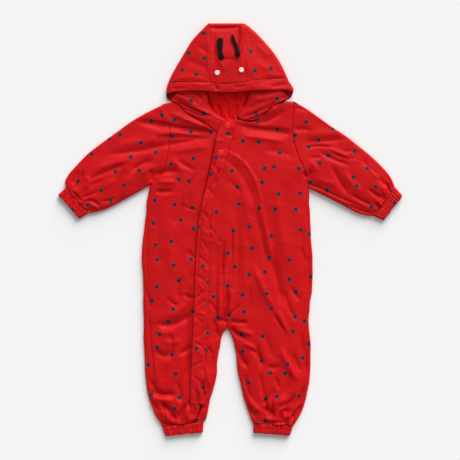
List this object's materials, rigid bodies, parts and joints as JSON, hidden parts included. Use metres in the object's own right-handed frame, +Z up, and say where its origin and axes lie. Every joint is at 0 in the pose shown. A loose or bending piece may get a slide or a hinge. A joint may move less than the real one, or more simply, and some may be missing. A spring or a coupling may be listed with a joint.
{
  "type": "puddle suit",
  "caption": "Baby's hooded all-in-one rain suit laid flat, front up, sleeves spread, with a slanting closure flap and elasticated wrists and ankles.",
  "frame": {"origin": "centre of the suit's outline on the surface it lies on", "axes": "+Y from the ankles towards the hood, +X towards the wearer's left sleeve, +Z up from the surface, out of the front"},
  "size_m": [0.6554, 0.7844, 0.0249],
  "materials": {
    "shell": "light woven, soft satin sheen, red with scattered dark teal dots",
    "lining": "plain red woven lining, matte",
    "felt_black": "black felt, matte",
    "felt_pale": "pale pink-white felt, matte",
    "snap": "red moulded snap cap"
  },
  "bodies": {
    "root": {"back_left": "shell", "back_right": "shell", "front_left": "shell", "front_right": "shell", "inner_leg_right": "shell", "closure_flap": "shell", "sleeve_left": "shell", "sleeve_right": "shell", "wrist_casing_left": "shell", "wrist_casing_right": "shell", "ankle_casing_left": "shell", "ankle_casing_right": "shell", "hood_back": "shell", "hood_center": "shell", "hood_side_left": "shell", "hood_side_right": "shell", "hood_brim": "shell", "hood_band_left": "shell", "hood_band_right": "shell", "hood_facing_left": "shell", "hood_facing_right": "shell", "hood_lining": "lining", "feeler_left": "felt_black", "feeler_right": "felt_black", "disc_left": "felt_pale", "disc_right": "felt_pale", "snap_lower": "snap", "snap_upper": "snap"}
  },
  "joints": []
}
